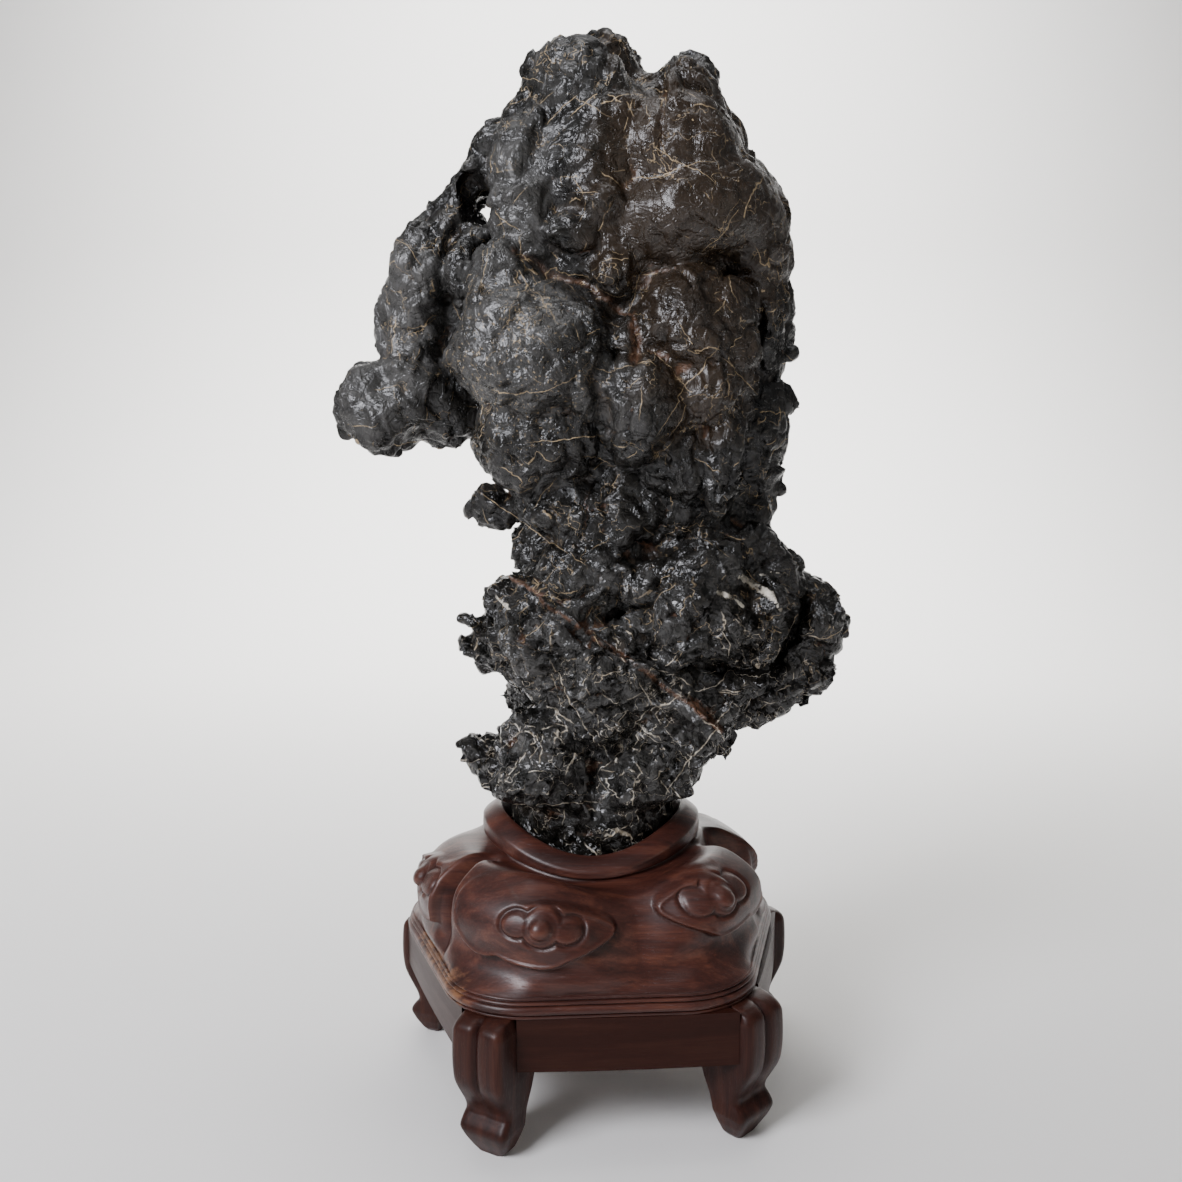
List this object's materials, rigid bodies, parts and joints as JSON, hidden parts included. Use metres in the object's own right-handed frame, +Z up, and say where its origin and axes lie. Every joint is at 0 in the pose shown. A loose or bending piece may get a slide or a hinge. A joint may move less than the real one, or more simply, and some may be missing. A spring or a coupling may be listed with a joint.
{
  "type": "scholars rock on stand",
  "caption": "Tall craggy black scholar's rock with lobes, an overhanging arm and a small through hole, seated in a carved cloud-scroll hardwood stand on short cabriole legs.",
  "frame": {"origin": "on the floor, under the middle of the whole part's box", "axes": "+Z up, -Y towards the viewer of the rock's front, +X to that viewer's right"},
  "size_m": [0.422, 0.3449, 0.8521],
  "materials": {
    "stone": "satin",
    "rosewood": "satin"
  },
  "bodies": {
    "root": {"rock": "stone", "stand_top": "rosewood", "apron_1": "rosewood", "apron_2": "rosewood", "apron_3": "rosewood", "apron_4": "rosewood", "apron_5": "rosewood", "leg_1": "rosewood", "leg_2": "rosewood", "leg_3": "rosewood", "leg_4": "rosewood", "leg_5": "rosewood"}
  },
  "joints": []
}
